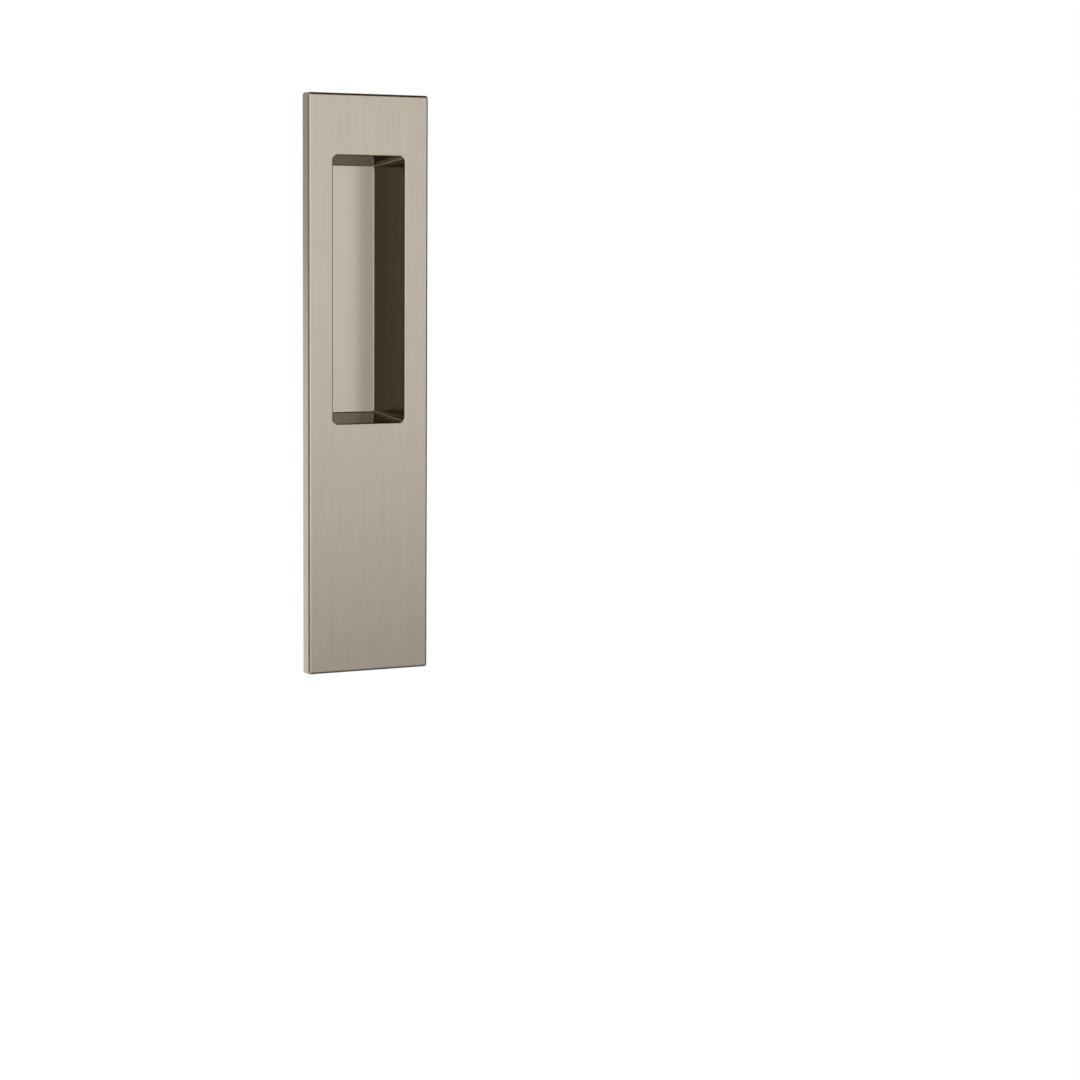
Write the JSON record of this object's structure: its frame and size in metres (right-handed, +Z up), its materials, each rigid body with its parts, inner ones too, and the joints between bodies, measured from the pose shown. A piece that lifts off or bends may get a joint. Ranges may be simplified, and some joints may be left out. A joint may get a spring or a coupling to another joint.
{
  "type": "pocket door pull",
  "caption": "Rectangular flush pull with a deep drafted finger recess, for a sliding pocket door, fixed from behind by two threaded posts.",
  "frame": {"origin": "centre of the finger recess, on the plane of the door's face, which is the back of the plate's rim", "axes": "+Z up along the plate, +X to the right seen from the room, +Y into the door; the front face looks along -Y"},
  "size_m": [0.0508, 0.025, 0.2201],
  "materials": {
    "satin_nickel": "satin",
    "turned_steel": "turned"
  },
  "bodies": {
    "root": {"pull_body": "satin_nickel", "threaded_post_upper": "turned_steel", "threaded_post_lower": "turned_steel"}
  },
  "joints": []
}
